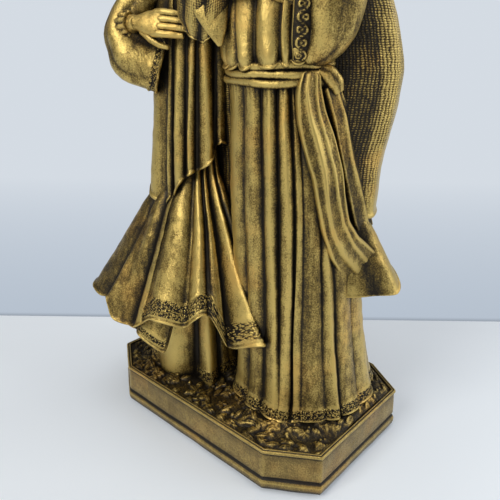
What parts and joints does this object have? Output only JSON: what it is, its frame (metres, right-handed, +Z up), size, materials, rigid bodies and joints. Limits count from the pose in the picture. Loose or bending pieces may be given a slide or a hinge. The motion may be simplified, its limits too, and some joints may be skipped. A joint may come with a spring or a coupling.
{
  "type": "holy family statue",
  "caption": "Standing group of a robed father and mother holding a swaddled child, cast with its leafy ground and set on an eight-sided moulded plinth.",
  "frame": {"origin": "centre of the plinth's underside", "axes": "+Z up, +X along the plinth's long side towards the father's side, -Y the way the group faces"},
  "size_m": [0.1665, 0.1149, 0.3012],
  "materials": {
    "antique_gold": "cold-cast resin under satin antique-gold paint, rubbed back on the ridges with dark brown patina left in the folds"
  },
  "bodies": {
    "root": {"figure_group": "antique_gold", "plinth": "antique_gold"}
  },
  "joints": []
}
